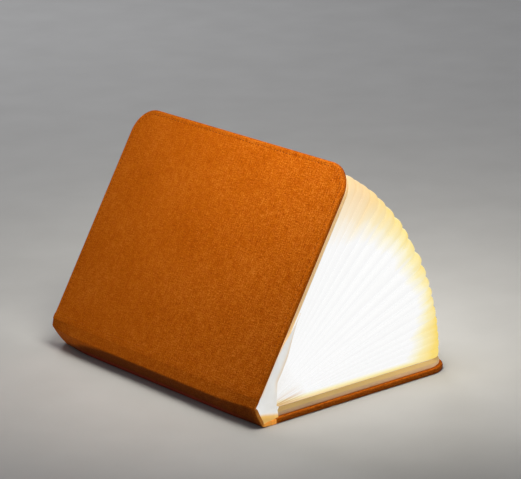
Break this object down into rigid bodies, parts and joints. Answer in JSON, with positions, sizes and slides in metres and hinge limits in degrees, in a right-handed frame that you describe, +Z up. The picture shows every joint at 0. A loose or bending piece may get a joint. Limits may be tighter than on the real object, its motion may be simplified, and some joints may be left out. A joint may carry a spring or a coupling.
{
  "type": "folding book lamp",
  "caption": "Book-shaped lamp: two cloth-bound covers on a chamfered spine open to fan out a glowing bellows of paper pleats around a light bar.",
  "frame": {"origin": "middle of the open lamp's footprint, on the surface it lies on", "axes": "+X from the spine to the lying cover's fore-edge, +Y along the spine from head to tail, +Z up"},
  "size_m": [0.1702, 0.215, 0.1526],
  "materials": {
    "cover_cloth": "fine linen weave",
    "board": "matte",
    "tray": "satin",
    "magnet": "satin",
    "end_paper": "matte",
    "pleat_paper": "matte, translucent",
    "bar": "satin",
    "diffuser": "frosted",
    "screw": "satin",
    "led_board": "satin",
    "led": "gloss",
    "battery": "gloss film",
    "circuit_board": "gloss",
    "socket": "satin",
    "light_pipe": "clear gloss",
    "reed_glass": "gloss",
    "wire": "satin"
  },
  "bodies": {
    "back_cover": {"back_board": "board", "back_cloth": "cover_cloth", "back_tray": "tray", "back_magnets": "magnet", "back_end_paper": "end_paper", "sensor_magnet": "magnet"},
    "spine": {"spine_cloth": "cover_cloth", "spine_board": "board", "bar_body": "bar", "bar_diffuser": "diffuser", "head_cap": "bar", "tail_cap": "bar", "cap_screws": "screw", "led_board": "led_board", "led_chips": "led", "battery_cells": "battery", "charge_board": "circuit_board", "usb_socket": "socket", "indicator_pipe": "light_pipe", "reed_switch": "reed_glass", "lead_wires": "wire", "back_hinge_cloth": "cover_cloth", "front_hinge_cloth": "cover_cloth", "head_gusset": "pleat_paper", "tail_gusset": "pleat_paper"},
    "front_cover": {"front_board": "board", "front_cloth": "cover_cloth", "front_tray": "tray", "front_magnets": "magnet", "front_end_paper": "end_paper"},
    "leaf_01": {"pleat_01": "pleat_paper"},
    "leaf_02": {"pleat_02": "pleat_paper"},
    "leaf_03": {"pleat_03": "pleat_paper"},
    "leaf_04": {"pleat_04": "pleat_paper"},
    "leaf_05": {"pleat_05": "pleat_paper"},
    "leaf_06": {"pleat_06": "pleat_paper"},
    "leaf_07": {"pleat_07": "pleat_paper"},
    "leaf_08": {"pleat_08": "pleat_paper"},
    "leaf_09": {"pleat_09": "pleat_paper"},
    "leaf_10": {"pleat_10": "pleat_paper"},
    "leaf_11": {"pleat_11": "pleat_paper"},
    "leaf_12": {"pleat_12": "pleat_paper"},
    "leaf_13": {"pleat_13": "pleat_paper"},
    "leaf_14": {"pleat_14": "pleat_paper"},
    "leaf_15": {"pleat_15": "pleat_paper"},
    "leaf_16": {"pleat_16": "pleat_paper"},
    "leaf_17": {"pleat_17": "pleat_paper"},
    "leaf_18": {"pleat_18": "pleat_paper"},
    "leaf_19": {"pleat_19": "pleat_paper"},
    "leaf_20": {"pleat_20": "pleat_paper"}
  },
  "joints": [
    {"name": "back_hinge", "type": "hinge", "parent": "back_cover", "child": "spine", "pos_m": [-0.06792, 0, 0], "axis": [0, -1, 0], "range_deg": [-31, 153.5], "deforming": ["back_hinge_cloth", "tail_gusset"]},
    {"name": "front_hinge", "type": "hinge", "parent": "spine", "child": "front_cover", "pos_m": [-0.0808, 0, 0.02143], "axis": [0, -1, 0], "range_deg": [-28, 156.5], "deforming": ["front_hinge_cloth", "head_gusset"]},
    {"name": "fold_01", "type": "hinge", "parent": "spine", "child": "leaf_01", "pos_m": [-0.0808, 0, 0.02143], "axis": [0, -1, 0], "range_deg": [-26.61, 148.69]},
    {"name": "fold_02", "type": "hinge", "parent": "spine", "child": "leaf_02", "pos_m": [-0.0808, 0, 0.02143], "axis": [0, -1, 0], "range_deg": [-23.81, 133.03]},
    {"name": "fold_03", "type": "hinge", "parent": "spine", "child": "leaf_03", "pos_m": [-0.0808, 0, 0.02143], "axis": [0, -1, 0], "range_deg": [-21.01, 117.39]},
    {"name": "fold_04", "type": "hinge", "parent": "spine", "child": "leaf_04", "pos_m": [-0.0808, 0, 0.02143], "axis": [0, -1, 0], "range_deg": [-18.21, 101.73]},
    {"name": "fold_05", "type": "hinge", "parent": "spine", "child": "leaf_05", "pos_m": [-0.0808, 0, 0.02143], "axis": [0, -1, 0], "range_deg": [-15.41, 86.08]},
    {"name": "fold_06", "type": "hinge", "parent": "spine", "child": "leaf_06", "pos_m": [-0.0808, 0, 0.02143], "axis": [0, -1, 0], "range_deg": [-12.61, 70.44]},
    {"name": "fold_07", "type": "hinge", "parent": "spine", "child": "leaf_07", "pos_m": [-0.0808, 0, 0.02143], "axis": [0, -1, 0], "range_deg": [-9.81, 54.78]},
    {"name": "fold_08", "type": "hinge", "parent": "spine", "child": "leaf_08", "pos_m": [-0.0808, 0, 0.02143], "axis": [0, -1, 0], "range_deg": [-7.01, 39.13]},
    {"name": "fold_09", "type": "hinge", "parent": "spine", "child": "leaf_09", "pos_m": [-0.0808, 0, 0.02143], "axis": [0, -1, 0], "range_deg": [-4.21, 23.48]},
    {"name": "fold_10", "type": "hinge", "parent": "spine", "child": "leaf_10", "pos_m": [-0.0808, 0, 0.02143], "axis": [0, -1, 0], "range_deg": [-1.41, 7.83]},
    {"name": "fold_11", "type": "hinge", "parent": "spine", "child": "leaf_11", "pos_m": [-0.06792, 0, 0], "axis": [0, -1, 0], "range_deg": [-7.68, 1.56]},
    {"name": "fold_12", "type": "hinge", "parent": "spine", "child": "leaf_12", "pos_m": [-0.06792, 0, 0], "axis": [0, -1, 0], "range_deg": [-23.04, 4.66]},
    {"name": "fold_13", "type": "hinge", "parent": "spine", "child": "leaf_13", "pos_m": [-0.06792, 0, 0], "axis": [0, -1, 0], "range_deg": [-38.38, 7.76]},
    {"name": "fold_14", "type": "hinge", "parent": "spine", "child": "leaf_14", "pos_m": [-0.06792, 0, 0], "axis": [0, -1, 0], "range_deg": [-53.73, 10.86]},
    {"name": "fold_15", "type": "hinge", "parent": "spine", "child": "leaf_15", "pos_m": [-0.06792, 0, 0], "axis": [0, -1, 0], "range_deg": [-69.08, 13.96]},
    {"name": "fold_16", "type": "hinge", "parent": "spine", "child": "leaf_16", "pos_m": [-0.06792, 0, 0], "axis": [0, -1, 0], "range_deg": [-84.44, 17.06]},
    {"name": "fold_17", "type": "hinge", "parent": "spine", "child": "leaf_17", "pos_m": [-0.06792, 0, 0], "axis": [0, -1, 0], "range_deg": [-99.78, 20.16]},
    {"name": "fold_18", "type": "hinge", "parent": "spine", "child": "leaf_18", "pos_m": [-0.06792, 0, 0], "axis": [0, -1, 0], "range_deg": [-115.14, 23.26]},
    {"name": "fold_19", "type": "hinge", "parent": "spine", "child": "leaf_19", "pos_m": [-0.06792, 0, 0], "axis": [0, -1, 0], "range_deg": [-130.49, 26.36]},
    {"name": "fold_20", "type": "hinge", "parent": "spine", "child": "leaf_20", "pos_m": [-0.06792, 0, 0], "axis": [0, -1, 0], "range_deg": [-145.84, 29.46]}
  ],
  "couplings": [
    {"joint": "fold_01", "follows": "front_hinge", "ratio": 0.95},
    {"joint": "fold_02", "follows": "front_hinge", "ratio": 0.85},
    {"joint": "fold_03", "follows": "front_hinge", "ratio": 0.75},
    {"joint": "fold_04", "follows": "front_hinge", "ratio": 0.65},
    {"joint": "fold_05", "follows": "front_hinge", "ratio": 0.55},
    {"joint": "fold_06", "follows": "front_hinge", "ratio": 0.45},
    {"joint": "fold_07", "follows": "front_hinge", "ratio": 0.35},
    {"joint": "fold_08", "follows": "front_hinge", "ratio": 0.25},
    {"joint": "fold_09", "follows": "front_hinge", "ratio": 0.15},
    {"joint": "fold_10", "follows": "front_hinge", "ratio": 0.05},
    {"joint": "fold_11", "follows": "back_hinge", "ratio": -0.05},
    {"joint": "fold_12", "follows": "back_hinge", "ratio": -0.15},
    {"joint": "fold_13", "follows": "back_hinge", "ratio": -0.25},
    {"joint": "fold_14", "follows": "back_hinge", "ratio": -0.35},
    {"joint": "fold_15", "follows": "back_hinge", "ratio": -0.45},
    {"joint": "fold_16", "follows": "back_hinge", "ratio": -0.55},
    {"joint": "fold_17", "follows": "back_hinge", "ratio": -0.65},
    {"joint": "fold_18", "follows": "back_hinge", "ratio": -0.75},
    {"joint": "fold_19", "follows": "back_hinge", "ratio": -0.85},
    {"joint": "fold_20", "follows": "back_hinge", "ratio": -0.95}
  ]
}
